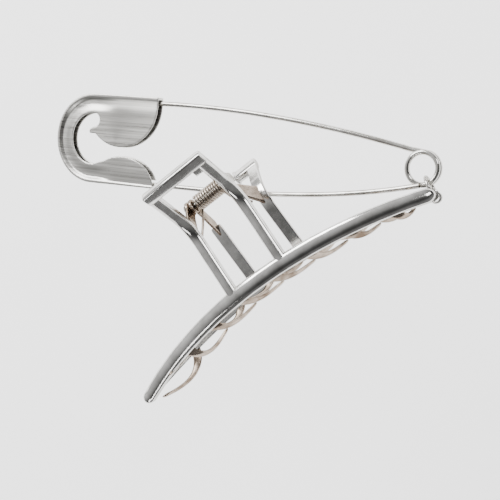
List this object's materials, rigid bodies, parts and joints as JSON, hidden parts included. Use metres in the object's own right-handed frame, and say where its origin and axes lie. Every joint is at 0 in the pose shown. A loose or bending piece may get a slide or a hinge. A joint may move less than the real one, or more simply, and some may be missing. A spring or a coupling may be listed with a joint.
{
  "type": "claw hair clip with decorative safety pin",
  "caption": "Large polished metal claw hair clip with a sprung hinge, open finger handles and an oversized decorative safety pin linked to one tip.",
  "frame": {"origin": "the middle of the mouth, between the two spines, where the hair is gripped", "axes": "+X along the spines towards the tip that holds the link; +Y from the teeth towards the finger handles; +Z out of the front jaw"},
  "size_m": [0.1291, 0.1155, 0.0542],
  "materials": {
    "polished_plate": "polished silver-tone plating over zinc alloy and wire",
    "brushed_plate": "fine horizontal brushing with bright rolled rims",
    "spring_steel": "bright drawn spring wire and turned pin"
  },
  "bodies": {
    "front_jaw": {"front_jaw": "polished_plate", "hinge_rivet": "spring_steel", "torsion_spring": "spring_steel"},
    "rear_jaw": {"rear_jaw": "polished_plate"},
    "link_ring": {"link_ring": "polished_plate"},
    "pin": {"pin_arm": "polished_plate", "pin_cap": "brushed_plate"},
    "needle": {"pin_needle": "polished_plate"}
  },
  "joints": [
    {"name": "jaw_hinge", "type": "hinge", "parent": "front_jaw", "child": "rear_jaw", "pos_m": [0, 0.04, 0], "axis": [1, 0, 0], "range_deg": [0, 45], "stiffness_Nm_per_rad": 0.15, "springref_deg": -17.19, "deforming": ["torsion_spring"]},
    {"name": "ring_swing", "type": "hinge", "parent": "rear_jaw", "child": "link_ring", "pos_m": [0.0582, -0.0048, -0.0043], "axis": [0, 0, 1], "range_deg": [0, 3]},
    {"name": "pin_swing", "type": "hinge", "parent": "link_ring", "child": "pin", "pos_m": [0.0589, 0.0001, -0.0055], "axis": [0, 0, 1], "range_deg": [0, 5]},
    {"name": "needle_release", "type": "hinge", "parent": "pin", "child": "needle", "pos_m": [0.05625, 0.0014, -0.00389], "axis": [-0.5736, -0.8192, 0], "range_deg": [0, 10], "stiffness_Nm_per_rad": 0.05, "springref_deg": -11.46}
  ]
}
